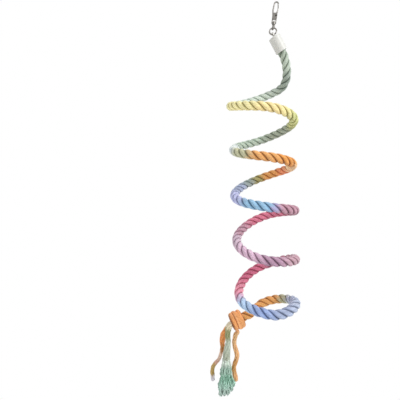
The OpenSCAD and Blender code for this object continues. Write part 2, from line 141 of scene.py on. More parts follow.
# Routes of the loose strands, each from its own start
LEFT_D = 7.5 * MM
MIDDLE_D = 9 * MM
RIGHT_D = 7.5 * MM
LEFT_ROUTE = ((-7, -1.5, -5), (-11, -2, -11), (-14, -2, -18), (-15, -2, -26), (-14.5, -2, -33), (-16, -2, -40),
              (-18, -2, -47), (-21, -2, -54), (-26, -2, -60), (-30, -2, -66), (-31, -2, -73), (-30.5, -2, -80),
              (-30, -2, -87))
MIDDLE_ROUTE = ((-6, -2, -7.5), (-6.5, -2.5, -15.5), (-6, -2.5, -24), (-6.5, -2.5, -32), (-8, -2.5, -42),
                (-9, -2.5, -53))
RIGHT_ROUTE = ((-1.5, 1, -6), (-3.5, 1.5, -12), (-4.5, 2.5, -20), (-4, 3, -26), (-2, 3, -32), (-0.5, 3, -39),
               (-1.5, 3, -46), (-4, 3, -52), (-5.5, 3, -58), (-5, 3, -65), (-3.5, 3, -72), (-2, 3, -78.5))
LEFT_START_SHARES = (0.36, -0.42)
MIDDLE_START_SHARES = (-0.42, 0.02)
RIGHT_ALONG_SHARE = 0.30
# Lay of a loose strand as a share of its diameter, and how much thicker its soft yarns are than
# yarns that just touch
LOOSE_LAY_SHARE = 9
PRESSED = 1.1

# The middle strand's frayed end, a flattened tuft with a slanting foot. At each share of its length
# it has a share of its width and depth, a shift to the left and a slope.
FRAY_W = 27 * MM
FRAY_T = 12 * MM
FRAY_LENGTH = 53 * MM
FRAY_DROP_SHARES = (0, 0.12, 0.32, 0.52, 0.70, 0.86, 1)
FRAY_WIDTH_SHARES = (0.44, 0.56, 0.66, 0.83, 0.95, 1, 0.55)
FRAY_DEPTH_SHARES = (0.75, 0.8, 0.9, 1, 1, 0.9, 0.6)
FRAY_SHIFT_SHARES = (0, 0, 0.03, 0.03, 0.02, 0.02, 0.20)
FRAY_SLANT_SHARES = (0, 0.1, 0.2, 0.3, 0.45, 0.6, 0.2)
WIDEST_SHARE = FRAY_DROP_SHARES[-2]
# How far out the outermost lock hangs, as a share of the half width, and the turn that spreads the
# locks evenly
LOCK_SPREAD = 0.93
GOLDEN_ANGLE = math.pi * (3 - math.sqrt(5))

# Keeps the noise of one strand apart from the next one's, in its route and in its fibres
ROUTE_SEEDS_APART = 7.3
FIBRE_SEEDS_APART = 5.7


# ---- Routes ----

def eased(share):
    return share * share * (3 - 2 * share)


def from_table(shares, place):
    """The value at a place between a table's entries, eased from one to the next"""
    i = min(int(place), len(shares) - 2)
    w = eased(place - i)
    return shares[i] * (1 - w) + shares[i + 1] * w


def coil_point(turns):
    angle = 2 * math.pi * turns
    even = COIL_TOP_R + (COIL_LOW_R - COIL_TOP_R) * turns / TAPER_TURNS
    r = even * (1 + from_table(REACH_SHARES, 2 * turns))
    lift = TURN_DROP * (from_table(LIFT_SHARES, 4 * turns) - turns)
    return COIL_AT + Vector((
        r * math.cos(angle) + LEAN_RIGHT * turns / TAPER_TURNS,
        r * math.sin(angle) - LEAN_FRONT * turns / TAPER_TURNS,
        TILT_RIGHT * math.cos(angle) + TILT_BACK * math.sin(angle) + lift))


def coil_dir(turns):
    step = 0.01
    return (coil_point(turns + step) - coil_point(turns - step)).normalized()


def bend(a, b, c, d, count):
    """Points between the two ends of a curve that leaves a towards b and comes to d from c"""
    shares = (i / count for i in range(1, count))
    return [a * (1 - s) ** 3 + b * 3 * s * (1 - s) ** 2 + c * 3 * s ** 2 * (1 - s) + d * s ** 3 for s in shares]


KNOT_AT = coil_point(END_TURNS) + KNOT_REACH
ROPE_END = KNOT_AT - KNOT_DIR * (KNOT_LENGTH / 2 + LINK_GAP)
TAIL_AT = ROPE_END - KNOT_DIR * ROPE_D


def in_cap(depth):
    """A point on the cap's axis at a depth below its closed top"""
    return MOUTH + CAP_DIR * (depth - CAP_LENGTH)


def rope_route(first, last):
    """The rope's centreline, and where on it each turn of the coil lies"""
    first_coil, last_coil = coil_point(START_TURNS), coil_point(END_TURNS)
    points = [first, MOUTH]
    points += bend(MOUTH, MOUTH + CAP_DIR * CAP_PULL, first_coil - coil_dir(START_TURNS) * COIL_PULL,
                   first_coil, LEAD_STEPS)
    count = round((END_TURNS - START_TURNS) * TURN_STEPS)
    turn_at = {}
    for i in range(count + 1):
        turns = START_TURNS + (END_TURNS - START_TURNS) * i / count
        turn_at[len(points)] = turns
        points.append(coil_point(turns))
    points += bend(last_coil, last_coil + coil_dir(END_TURNS) * TAIL_PULL,
                   TAIL_AT - KNOT_DIR * KNOT_PULL, TAIL_AT, TAIL_STEPS)
    points += [TAIL_AT, last]
    return points, turn_at


def lengths(points):
    """How far along a route each of its points lies"""
    along = [0.0]
    for a, b in zip(points, points[1:]):
        along.append(along[-1] + (b - a).length)
    return along


def smooth(points, per_step=6):
    """A route through the same points, rounded between them"""
    ends = [points[0] * 2 - points[1], *points, points[-1] * 2 - points[-2]]
    route = []
    for a, b, c, d in zip(ends, ends[1:], ends[2:], ends[3:]):
        for i in range(per_step):
            s = i / per_step
            route.append(0.5 * (b * 2 + (c - a) * s + (a * 2 - b * 5 + c * 4 - d) * s ** 2
                                + (b * 3 - a - c * 3 + d) * s ** 3))
    return route + [points[-1]]


def plumb(points):
    return [PLUMB @ p for p in points]


def on_face(shares):
    """A point on the knot's far face, out to the back and up by shares of its radius"""
    return (KNOT_AT + KNOT_DIR * (KNOT_LENGTH / 2 + LINK_GAP)
            + (KNOT_BACK * shares[0] + KNOT_UP * shares[1]) * KNOT_D / 2)


def strand_route(start, first_dir, diameter, route):
    """A loose strand runs straight out for half its thickness, then along its route"""
    return [start, start + first_dir * diameter / 2] + [start + Vector(p) * MM for p in route]


def between(places, values, place, ease=False):
    """The value at a place between those that a table gives"""
    for low, high, a, b in zip(places, places[1:], values, values[1:]):
        if place <= high:
            share = max(place - low, 0) / (high - low)
            return a + (b - a) * (eased(share) if ease else share)
    return values[-1]


def fray_from():
    """The frayed end starts level with the lowest edge of the middle strand's slanting foot"""
    end = Vector(MIDDLE_ROUTE[-1]) * MM
    run = (end - Vector(MIDDLE_ROUTE[-2]) * MM).normalized()
    return on_face(MIDDLE_START_SHARES) + end - Vector((0, 0, MIDDLE_D / 2 * math.hypot(run.x, run.y)))


def in_fray(share, right, back):
    """A point in the frayed end, right and to the back of its middle by shares of its own half width"""
    width, depth, shift, slant = (between(FRAY_DROP_SHARES, table, share) for table in (
        FRAY_WIDTH_SHARES, FRAY_DEPTH_SHARES, FRAY_SHIFT_SHARES, FRAY_SLANT_SHARES))
    across = FRAY_W / 2 * width * right
    return fray_from() + Vector((across - FRAY_W * shift, FRAY_T / 2 * depth * back,
                                 across * slant - FRAY_LENGTH * share))


def foot_height(x):
    """Height of the frayed end's slanting foot, from its two lowest corners and its right one"""
    corners = sorted(((p - fray_from()).x, (p - fray_from()).z) for p in (
        in_fray(1, -1, 0), in_fray(1, 1, 0), in_fray(WIDEST_SHARE, 1, 0)))
    return between([c[0] for c in corners], [c[1] for c in corners], x)


# ---- Small helpers ----

def linear(hex_colour):
    """An sRGB hex value as the linear colour that a node takes"""
    parts = (int(hex_colour[i:i + 2], 16) / 255 for i in (0, 2, 4))
    return (*(c / 12.92 if c <= 0.04045 else ((c + 0.055) / 1.055) ** 2.4 for c in parts), 1.0)


def feed(tree, node, inputs):
    """Sets a node's inputs to values, or links them to sockets"""
    for key, value in inputs.items():
        if isinstance(value, bpy.types.NodeSocket):
            tree.links.new(value, node.inputs[key])
        else:
            node.inputs[key].default_value = value


def add(tree, kind, inputs=None, **settings):
    """One node with its settings and inputs"""
    node = tree.nodes.new(kind)
    for name, value in settings.items():
        setattr(node, name, value)
    feed(tree, node, inputs or {})
    return node


def maths(tree, operation, *values):
    """The result of a sum on numbers"""
    return add(tree, "ShaderNodeMath", dict(enumerate(values)), operation=operation).outputs[0]


def vector(tree, *values):
    """Numbers as the parts of a vector"""
    return add(tree, "ShaderNodeCombineXYZ", dict(enumerate(values))).outputs[0]


def vector_maths(tree, operation, a, b):
    """The result of a sum on two vectors, or on a vector and the number that scales it"""
    sum_of = add(tree, "ShaderNodeVectorMath", {0: a, "Scale" if operation == "SCALE" else 1: b},
                 operation=operation)
    return sum_of.outputs["Value" if operation == "DISTANCE" else "Vector"]


def ranged(tree, value, low, high, start=0.0, end=1.0, **settings):
    """A number that goes from low to high while the value goes from start to end"""
    return add(tree, "ShaderNodeMapRange", {"Value": value, "From Min": start, "From Max": end,
                                            "To Min": low, "To Max": high}, **settings).outputs[0]


def noise(tree, place, size, detail, roughness=0.5):
    """Soft noise with swells of about that size"""
    return add(tree, "ShaderNodeTexNoise", {"Vector": place, "Scale": 1 / size, "Detail": detail,
                                            "Roughness": roughness}).outputs["Fac"]


def bump(tree, height, distance, strength, **inputs):
    return add(tree, "ShaderNodeBump", {"Height": height, "Distance": distance, "Strength": strength,
                                        **inputs}).outputs[0]


def fresh_material(name):
    material = bpy.data.materials.new(name)
    material.use_nodes = True
    tree = material.node_tree
    return material, tree, tree.nodes["Principled BSDF"]


def line_mesh(name, routes):
    """An object of open lines. Each route is a list of points and one of strand radii, the girths."""
    points = [p for route, _ in routes for p in route]
    edges, start = [], 0
    for route, _ in routes:
        edges += [(start + i, start + i + 1) for i in range(len(route) - 1)]
        start += len(route)
    mesh = bpy.data.meshes.new(name)
    mesh.from_pydata(points, edges, [])
    girth = mesh.attributes.new("girth", "FLOAT", "POINT")
    girth.data.foreach_set("value", [g for _, girths in routes for g in girths])
    line = mesh.attributes.new("line", "FLOAT", "POINT")
    line.data.foreach_set("value", [float(i) for i, (route, _) in enumerate(routes) for _ in route])
    made = bpy.data.objects.new(name, mesh)
    bpy.context.scene.collection.objects.link(made)
    return made


def even_line(points, radius):
    """A route turned plumb, with one strand radius all along it"""
    return plumb(points), [radius] * len(points)


STRAND_TREE = "Laid strands"
# One strand that lies on its line
ALONE = {"strands": 1, "offset_share": 0.0}


def grow(made, **values):
    """Turns an object's lines into the plain mesh of the strands laid along them"""
    tree = bpy.data.node_groups[STRAND_TREE]
    modifier = made.modifiers.new(tree.name, "NODES")
    modifier.node_group = tree
    for item in tree.interface.items_tree:
        key = item.name.lower().replace(" ", "_")
        if item.in_out == "INPUT" and key in values:
            modifier[item.identifier] = values.pop(key)
    if values:
        raise RuntimeError(f"{tree.name} has no inputs named {sorted(values)}")
    graph = bpy.context.evaluated_depsgraph_get()
    finished = bpy.data.meshes.new_from_object(made.evaluated_get(graph))
    made.modifiers.remove(modifier)
    lines, made.data = made.data, finished
    bpy.data.meshes.remove(lines)
    finished.name = made.name
    if not finished.polygons:
        raise RuntimeError(f"{made.name} came out empty")


# ---- Geometry node tree ----

def tree_with_inputs(name, sockets):
    tree = bpy.data.node_groups.new(name, "GeometryNodeTree")
    tree.interface.new_socket("Geometry", in_out="INPUT", socket_type="NodeSocketGeometry")
    for label, kind, value in sockets:
        socket = tree.interface.new_socket(label, in_out="INPUT", socket_type="NodeSocket" + kind)
        if value is not None:
            socket.default_value = value
    tree.interface.new_socket("Geometry", in_out="OUTPUT", socket_type="NodeSocketGeometry")
    return tree


def capture(tree, geometry, *items):
    """A geometry and values that it keeps as they are here, each given by kind, name and socket"""
    kept = add(tree, "GeometryNodeCaptureAttribute", {"Geometry": geometry})
    for kind, name, value in items:
        kept.capture_items.new(kind, name)
        tree.links.new(value, kept.inputs[name])
    return kept.outputs


def strand_tree():
    """Lays strands round every line of the source, as a rope walk does. The lines' girth is a strand's radius."""
    tree = tree_with_inputs(STRAND_TREE, (
        ("Strands", "Int", 3), ("Offset Share", "Float", 1.03), ("Lay", "Float", 0.035), ("Step", "Float", 0.0016),
        ("Sides", "Int", 24), ("Flatness", "Float", 0.0), ("Wander", "Float", 0.0), ("Wander Size", "Float", 0.012),
        ("Round End", "Float", 0.003), ("Seed", "Float", 0.0), ("Material", "Material", None)))
    given = add(tree, "NodeGroupInput").outputs
    line = add(tree, "GeometryNodeMeshToCurve", {"Mesh": given["Geometry"]})
    even = add(tree, "GeometryNodeResampleCurve", {"Curve": line.outputs[0], "Length": given["Step"]}, mode="LENGTH")
    many = add(tree, "GeometryNodeDuplicateElements", {"Geometry": even.outputs[0], "Amount": given["Strands"]},
               domain="SPLINE").outputs
    index = many["Duplicate Index"]
    place = add(tree, "GeometryNodeSplineParameter").outputs
    whole = add(tree, "GeometryNodeSplineLength").outputs["Length"]
    girth, line_of = (
        add(tree, "GeometryNodeInputNamedAttribute", {"Name": name}, data_type="FLOAT").outputs["Attribute"]
        for name in ("girth", "line"))
    number = maths(tree, "MULTIPLY_ADD", line_of, given["Strands"], index)

    # The way out from the line to a strand turns once in each lay
    turns = maths(tree, "ADD", maths(tree, "DIVIDE", index, given["Strands"]),
                  maths(tree, "DIVIDE", place["Length"], given["Lay"]))
    out = add(tree, "ShaderNodeVectorRotate", {
        "Vector": add(tree, "GeometryNodeInputNormal").outputs[0],
        "Axis": add(tree, "GeometryNodeInputTangent").outputs[0],
        "Angle": maths(tree, "MULTIPLY", turns, 2 * math.pi)})
    held = capture(tree, many["Geometry"], ("VECTOR", "Out", out.outputs[0]), ("FLOAT", "Along", place["Length"]),
                   ("FLOAT", "Girth", girth), ("FLOAT", "Strand", number), ("FLOAT", "Whole", whole))

    # Hand-laid strands wander a little from their places
    spot = vector(tree, maths(tree, "DIVIDE", held["Along"], given["Wander Size"]),
                  maths(tree, "ADD", maths(tree, "MULTIPLY", held["Strand"], ROUTE_SEEDS_APART), given["Seed"]))
    stray = add(tree, "ShaderNodeTexNoise", {"Vector": spot, "Scale": 1.0, "Detail": 1.0})
    centred = vector_maths(tree, "SUBTRACT", stray.outputs["Color"], (0.5, 0.5, 0.5))
    wander = vector_maths(tree, "SCALE", centred, given["Wander"])
    reach = maths(tree, "MULTIPLY", held["Girth"], given["Offset Share"])
    offset = vector_maths(tree, "ADD", vector_maths(tree, "SCALE", held["Out"], reach), wander)
    laid = add(tree, "GeometryNodeSetPosition", {"Geometry": held["Geometry"], "Offset": offset})
    faced = add(tree, "GeometryNodeSetCurveNormal", {"Curve": laid.outputs[0], "Normal": held["Out"]}, mode="FREE")

    # An open ring whose ends meet on the strand's hidden inner side, a little wider than thick
    ring = add(tree, "GeometryNodeCurveArc", {
        "Resolution": maths(tree, "ADD", given["Sides"], 1.0), "Radius": 1.0,
        "Start Angle": math.pi, "Sweep Angle": 2 * math.pi})
    drawn = capture(tree, ring.outputs[0],
                    ("FLOAT", "Round", add(tree, "GeometryNodeSplineParameter").outputs["Factor"]))
    shape = vector(tree, maths(tree, "SUBTRACT", 1.0, given["Flatness"]),
                   maths(tree, "ADD", 1.0, given["Flatness"]), 1.0)
    at = add(tree, "GeometryNodeInputPosition").outputs[0]
    profile = add(tree, "GeometryNodeSetPosition", {
        "Geometry": drawn["Geometry"], "Position": vector_maths(tree, "MULTIPLY", at, shape)})

    # Both ends close in a quarter round
    left = maths(tree, "SUBTRACT", held["Whole"], held["Along"])
    close = ranged(tree, maths(tree, "MINIMUM", held["Along"], left), 1.0, 0.0, end=given["Round End"])
    rounding = maths(tree, "SQRT", maths(tree, "SUBTRACT", 1.0, maths(tree, "MULTIPLY", close, close)))
    mesh = add(tree, "GeometryNodeCurveToMesh", {
        "Curve": faced.outputs[0], "Profile Curve": profile.outputs[0],
        "Scale": maths(tree, "MULTIPLY", rounding, held["Girth"])}).outputs[0]

    # The map runs in metres along a strand, and from 0 to 1 round it
    place_map = vector(tree, held["Along"], drawn["Round"])
    for name, value, kind, domain in (("UVMap", place_map, "FLOAT2", "CORNER"),
                                      ("strand", held["Strand"], "FLOAT", "POINT")):
        mesh = add(tree, "GeometryNodeStoreNamedAttribute", {"Geometry": mesh, "Name": name, "Value": value},
                   data_type=kind, domain=domain).outputs[0]
    for kind, inputs in (("GeometryNodeMergeByDistance", {"Distance": 0.01 * MM}),
                         ("GeometryNodeSetShadeSmooth", {}), ("GeometryNodeRealizeInstances", {}),
                         ("GeometryNodeSetMaterial", {"Material": given["Material"]})):
        mesh = add(tree, kind, {"Geometry": mesh, **inputs}).outputs[0]
    add(tree, "NodeGroupOutput", {"Geometry": mesh})


# ---- Materials ----

# The dyes along the rope, by the turns of the coil at which each one starts and ends. The first band, at the cap's
# mouth, is darker: painted shadow of the cap.
ROPE_DYES_AND_CAP_SHADOW = (
    (-0.20, -0.06, "8E9A8C"), (-0.03, 0.02, "BAC6B8"), (0.06, 0.12, "98A49A"), (0.20, 0.36, "CCD8CC"),
    (0.47, 0.52, "E6E8BC"), (0.56, 0.70, "FAF0B4"), (0.74, 0.84, "F4E2A6"), (0.92, 1.03, "CED292"),
    (1.08, 1.20, "A6B0A0"), (1.28, 1.42, "BACBBC"), (1.48, 1.54, "E6EEF0"), (1.60, 1.66, "C8C8A6"),
    (1.71, 1.80, "E8AC6C"), (1.84, 1.93, "DE9A52"), (1.96, 2.05, "F6D2A6"), (2.09, 2.13, "F0986C"),
    (2.18, 2.24, "E4A460"), (2.27, 2.30, "A49C66"), (2.33, 2.36, "9DABA8"), (2.40, 2.46, "A6B2CE"),
    (2.52, 2.61, "C2C6EC"), (2.66, 2.77, "96BEDC"), (2.79, 2.805, "A9A6CC"), (2.83, 2.92, "BA8E9E"),
    (2.97, 3.05, "B08694"), (3.15, 3.33, "D87C94"), (3.40, 3.47, "C69CAC"), (3.50, 3.57, "D4BCCC"),
    (3.62, 3.69, "DEBCD2"), (3.75, 3.81, "B490A8"), (3.88, 4.05, "C29EAA"), (4.15, 4.25, "C07A90"),
    (4.28, 4.42, "CE6E8A"), (4.47, 4.52, "EC9AAE"), (4.60, 4.64, "BAD4F2"), (4.68, 4.75, "98ACD8"),
    (4.81, 4.86, "A4B0CC"), (4.92, 5.08, "B4BED4"), (5.12, 5.15, "BEBC98"), (5.18, 5.42, "E2A662"),
    (5.50, 5.80, "D4B068"))
# A colour ramp takes 32 stops, and each band needs two
BANDS_IN_RAMP = 15

# Fibres are finer than the render shows, so they are drawn 0.5 mm wide
FIBRE_LENGTH = 3 * MM
FIBRES_IN_YARN = 3.0
# How early or late a yarn takes the dye, and how far the dye bleeds along a fibre
DYE_SHIFT = 2.5 * MM
DYE_BLEED = 3 * MM
# Where the painted shade in the furrow between two strands starts and is deepest, in shares of the way round from
# the crest; a wrap's crest, which takes the painted highlight, counts as CREST
FURROW_START = 0.10
FURROW_END = 0.27
CREST = 0.08


def dye_colour(tree, along, dyes):
    """The dye at a place along a strand. Dyes are the start, end and hex value of each band, in metres."""
    colour, before = None, 0
    for first in range(0, len(dyes), BANDS_IN_RAMP):
        bands = dyes[first:first + BANDS_IN_RAMP]
        low, high = bands[0][0], bands[-1][1]
        node = add(tree, "ShaderNodeValToRGB", {"Fac": ranged(tree, along, 0, 1, low, high)})
        ramp = node.color_ramp
        ramp.elements[-1].color = linear(bands[-1][2])
        ramp.elements[0].color = linear(bands[0][2])
        stops = [((place - low) / (high - low), band[2]) for band in bands for place in band[:2]]
        for position, dye in stops[1:-1]:
            ramp.elements.new(position).color = linear(dye)
        if colour is None:
            colour = node.outputs["Color"]
        else:
            step = ranged(tree, along, 0, 1, before, low)
            colour = add(tree, "ShaderNodeMix", {0: step, 6: colour, 7: node.outputs["Color"]},
                         data_type="RGBA").outputs[2]
        before = high
    return colour


def cotton(name, dyes, yarns, yarn_pitch, painted_furrow_shade, painted_yarn_shade=0.34, uneven=0.12, wound=None):
    """Twisted cotton: soft and matt, its yarns a ridged weave with a painted highlight on each yarn's top and
    painted shade between yarns.
    Yarns lie round a strand and turn once in each pitch. The dye bleeds unevenly from yarn to yarn.
    Strands get painted shade in the furrow between them, where the dye is also made stronger, and a painted
    highlight on their crests.
    On wraps, wound gives a point of their axis, its direction, and the radii of the painted shade in the furrow and
    of the painted highlight on the crest."""
    material, tree, shader = fresh_material(name)
    uv = add(tree, "ShaderNodeUVMap", uv_map="UVMap").outputs[0]
    along, way_round, _ = add(tree, "ShaderNodeSeparateXYZ", {0: uv}).outputs
    strand = add(tree, "ShaderNodeAttribute", attribute_name="strand").outputs["Fac"]

    # Across the yarns the coordinate grows by one for each yarn
    turned = maths(tree, "ADD", way_round, maths(tree, "MULTIPLY", along, 1 / yarn_pitch))
    across = maths(tree, "MULTIPLY", turned, yarns)
    number = maths(tree, "FLOORED_MODULO", maths(tree, "FLOOR", across), yarns)
    ridge = maths(tree, "SINE", maths(tree, "MULTIPLY", maths(tree, "FRACT", across), math.pi))
    fibre_spot = vector(tree, maths(tree, "MULTIPLY", along, 1 / FIBRE_LENGTH),
                        maths(tree, "MULTIPLY", across, FIBRES_IN_YARN),
                        maths(tree, "MULTIPLY", strand, FIBRE_SEEDS_APART))
    fibre = noise(tree, fibre_spot, 1, 3.0, 0.6)

    # Each yarn takes the dye a few millimetres early or late
    own = add(tree, "ShaderNodeTexWhiteNoise", {"Vector": vector(tree, number, strand)},
              noise_dimensions="2D").outputs["Value"]
    shift = maths(tree, "ADD", ranged(tree, own, -DYE_SHIFT, DYE_SHIFT), ranged(tree, fibre, -DYE_BLEED, DYE_BLEED))
    dye = dye_colour(tree, maths(tree, "ADD", along, shift), dyes)

    # Shade: a yarn's own depth of dye and the fibres' tone, then painted shade between yarns with a painted
    # highlight on their tops, and painted shade in the furrow between two strands with a painted highlight on the
    # crest
    if wound:
        axis_at, axis_dir, low, high = wound
        to_axis = vector_maths(tree, "SUBTRACT", add(tree, "ShaderNodeTexCoord").outputs["Object"], axis_at)
        off_axis = vector_maths(tree, "DISTANCE", to_axis, vector_maths(tree, "PROJECT", to_axis, axis_dir))
        off_crest = ranged(tree, off_axis, FURROW_END, CREST, low, high)
    else:
        off_crest = maths(tree, "ABSOLUTE", maths(tree, "SUBTRACT", way_round, 0.5))
    shade = ranged(tree, own, 1 - uneven, 1 + uneven)
    # Painted shade between the yarns and a painted highlight on their tops, then painted shade in the furrow and a
    # painted highlight on the crest
    for other in (ranged(tree, fibre, 0.82, 1.18, 0.3, 0.7), ranged(tree, ridge, 1.1 - painted_yarn_shade, 1.1),
                  ranged(tree, off_crest, 1 + 0.6 * painted_furrow_shade, 1 - painted_furrow_shade, FURROW_START, FURROW_END,
                         interpolation_type="SMOOTHSTEP")):
        shade = maths(tree, "MULTIPLY", shade, other)
    # Painted shade: down in the furrow the dye is made darker and stronger, as it looks in shade
    furrow_shade_gamma = ranged(tree, off_crest, 1.0, 1.0 + painted_furrow_shade, FURROW_START, FURROW_END)
    shaded_dye = add(tree, "ShaderNodeGamma", {"Color": dye, "Gamma": furrow_shade_gamma})
    yarn_bump = bump(tree, ridge, 0.25 * MM, 0.8)
    feed(tree, shader, {
        "Base Color": vector_maths(tree, "SCALE", shaded_dye.outputs[0], shade),
        "Normal": bump(tree, fibre, 0.12 * MM, 0.7, Normal=yarn_bump),
        "Roughness": 0.92, "Specular IOR Level": 0.25, "Sheen Weight": 0.2, "Sheen Roughness": 0.6})
    return material


def bright_metal(name, tint, roughness):
    """Nickel plate or plain steel: a grey mirror, dulled by handling and by tiny waves in the metal under it"""
    material, tree, shader = fresh_material(name)
    at = add(tree, "ShaderNodeTexCoord").outputs["Object"]
    rub = noise(tree, at, 0.8 * MM, 3.0)
    feed(tree, shader, {
        "Base Color": vector_maths(tree, "SCALE", tint[:3], ranged(tree, rub, 0.85, 1.1)),
        "Roughness": ranged(tree, rub, roughness - 0.06, roughness + 0.12, 0.35, 0.7),
        "Normal": bump(tree, noise(tree, at, 2.5 * MM, 2.0), 0.05 * MM, 0.5), "Metallic": 1.0})
    return material


def moulded_plastic(name, tint):
    """Injection-moulded ABS: an even satin white with a faint orange peel and a little dust in it"""
    material, tree, shader = fresh_material(name)
    at = add(tree, "ShaderNodeTexCoord").outputs["Object"]
    peel = noise(tree, at, 0.7 * MM, 2.0)
    dust = noise(tree, at, 9 * MM, 2.0)
    feed(tree, shader, {
        "Base Color": vector_maths(tree, "SCALE", tint[:3], ranged(tree, dust, 0.95, 1.03)),
        "Roughness": ranged(tree, peel, 0.34, 0.46), "Normal": bump(tree, peel, 0.02 * MM, 0.2)})
    return material


def paint_node(node, material):
    """Gives a carried-over CAD node its finish"""
    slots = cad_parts[node].data.materials
    slots.clear()
    slots.append(material)


# ---- Settings ----

class PerchRopeSettings(bpy.types.PropertyGroup):
    lay: bpy.props.FloatProperty(
        name="Lay", description="Length in which a strand turns once round the rope",
        default=35 * MM, min=25 * MM, max=50 * MM, subtype="DISTANCE", unit="LENGTH")
    strand_radius: bpy.props.FloatProperty(
        name="Strand radius", description="Radius of each of the rope's three strands",
        default=3.5 * MM, min=3 * MM, max=4 * MM, subtype="DISTANCE", unit="LENGTH")
    strand_offset: bpy.props.FloatProperty(
        name="Strand offset", description="Distance of a strand's middle from the rope's",
        default=3.62 * MM, min=3 * MM, max=4 * MM, subtype="DISTANCE", unit="LENGTH")


class PerchTailSettings(bpy.types.PropertyGroup):
    yarns: bpy.props.IntProperty(
        name="Yarns in a strand", description="Yarns that show round each loose strand", default=6, min=5, max=12)
    tassel_yarns: bpy.props.IntProperty(
        name="Yarns in the tassel", description="Loose yarns of the frayed end", default=132, min=60, max=260)
    tassel_locks: bpy.props.IntProperty(
        name="Locks in the tassel", description="Bunches that the loose yarns hang in", default=22, min=8, max=60)
    tassel_yarn_radius: bpy.props.FloatProperty(
        name="Tassel yarn radius", description="Radius of a loose yarn of the frayed end",
        default=0.65 * MM, min=0.3 * MM, max=0.9 * MM, subtype="DISTANCE", unit="LENGTH")
    seed: bpy.props.IntProperty(name="Seed", description="Seed of all the tail's uneven places", default=4, min=0)


class PerchFinishSettings(bpy.types.PropertyGroup):
    nickel: bpy.props.FloatVectorProperty(
        name="Nickel", description="Colour of the clasp, swivel eye and ring", subtype="COLOR", size=4,
        default=linear("8E8B86"), min=0, max=1)
    # The eye in the cap's top is drawn in a lighter nickel than the clasp's
    cap_eye: bpy.props.FloatVectorProperty(
        name="Cap eye", description="Colour of the eye in the cap's top, in a lighter nickel than the clasp's",
        subtype="COLOR", size=4, default=linear("D2D0CB"), min=0, max=1)
    cap: bpy.props.FloatVectorProperty(
        name="Cap", description="Colour of the end cap's plastic", subtype="COLOR", size=4,
        default=linear("E8E8E3"), min=0, max=1)


class PerchStageSettings(bpy.types.PropertyGroup):
    floor_drop: bpy.props.FloatProperty(
        name="Floor drop", description="Height of the origin above the floor",
        default=1.15, min=0.64, max=1.5, subtype="DISTANCE", unit="LENGTH")
    sky_strength: bpy.props.FloatProperty(
        name="Surrounding light", description="Strength of the even white light from all round",
        default=0.55, min=0, max=2)
    key_power: bpy.props.FloatProperty(
        name="Key light", description="Power of the main lamp", default=13.0, min=0, max=100, subtype="POWER")
    fill_power: bpy.props.FloatProperty(
        name="Fill light", description="Power of the lamp on the other side", default=2.2, min=0, max=100,
        subtype="POWER")


# ---- Operators ----

def tail_dyes(length, *bands):
    """Dye bands given by shares of a strand's length, in metres"""
    return tuple((start * length, end * length, colour) for start, end, colour in bands)


class PerchSetCamera(bpy.types.Operator):
    """Puts the camera where the view is taken from"""
    bl_idname = "perch.set_camera"
    bl_label = "Set camera"

    def execute(self, context):
        forward = Vector((math.sin(CAMERA_YAW) * math.cos(CAMERA_PITCH),
                          math.cos(CAMERA_YAW) * math.cos(CAMERA_PITCH), -math.sin(CAMERA_PITCH)))
        right = Vector((math.cos(CAMERA_YAW), -math.sin(CAMERA_YAW), 0))
        place = Matrix((right, right.cross(forward), -forward)).transposed().to_4x4()
        place.translation = CAMERA_AT
        data = bpy.data.cameras.new("View")
        data.sensor_width = SENSOR_WIDTH
        data.lens = FOCAL_SHARE * SENSOR_WIDTH
        data.clip_start, data.clip_end = 0.01, 100
        camera = bpy.data.objects.new("View", data)
        camera.matrix_world = PLUMB @ place
        context.scene.collection.objects.link(camera)
        context.scene.camera = camera
        return {"FINISHED"}


